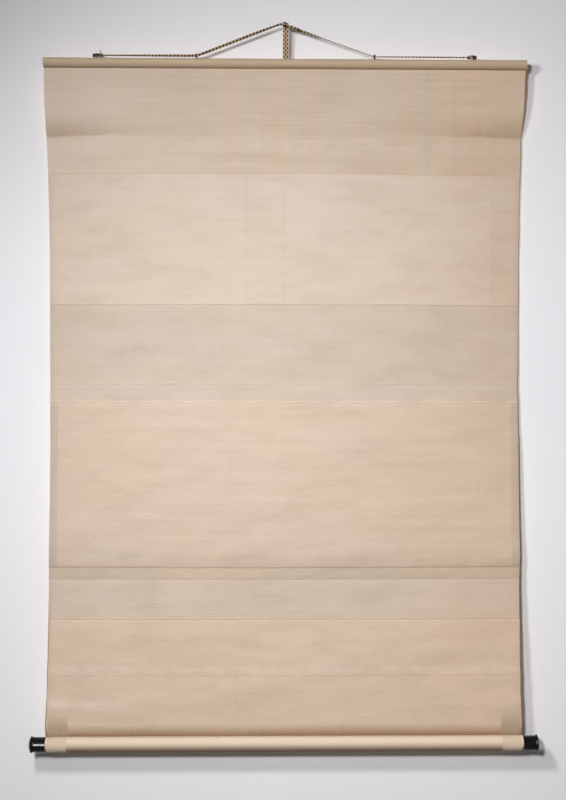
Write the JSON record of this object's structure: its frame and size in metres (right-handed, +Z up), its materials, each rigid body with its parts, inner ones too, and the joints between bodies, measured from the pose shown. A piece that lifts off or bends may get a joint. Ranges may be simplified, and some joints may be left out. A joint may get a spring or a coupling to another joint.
{
  "type": "hanging paper scroll",
  "caption": "Hanging paper scroll, hung back to front: cloth-and-paper sheet between a half-round top stave and a roller with black flared knobs, on a braided hanging cord.",
  "frame": {"origin": "point under the hanging cord where a wall hook takes it, 9 mm left of the middle of the stave", "axes": "+Z up as it hangs, +X to the right along the stave seen from the backing side, +Y from the backing side through the sheet to its picture side and the wall"},
  "size_m": [0.952, 0.0586, 1.358],
  "materials": {
    "backing_paper": "matte, aged, faint woven grid",
    "cover_silk": "thin silk, faint vertical stripes",
    "patch_paper": "matte, greyer than the backing",
    "bare_wood": "planed, unfinished",
    "black_lacquer": "black lacquer, high gloss",
    "blackened_metal": "blackened, dull",
    "two_tone_braid": "flat braid of black and tan yarn"
  },
  "bodies": {
    "root": {"scroll_sheet": "backing_paper", "cover_silk": "cover_silk", "corner_patch_left": "patch_paper", "corner_patch_right": "patch_paper", "top_stave": "bare_wood", "roller_rod": "bare_wood", "knob_left": "black_lacquer", "knob_right": "black_lacquer", "eyelet_outer_left": "blackened_metal", "washer_outer_left": "blackened_metal", "eyelet_inner_left": "blackened_metal", "washer_inner_left": "blackened_metal", "eyelet_inner_right": "blackened_metal", "washer_inner_right": "blackened_metal", "eyelet_outer_right": "blackened_metal", "washer_outer_right": "blackened_metal", "hanging_cord": "two_tone_braid", "cord_knot_left": "two_tone_braid", "cord_knot_right": "two_tone_braid", "ribbon_hitch": "two_tone_braid", "winding_ribbon": "two_tone_braid"}
  },
  "joints": []
}
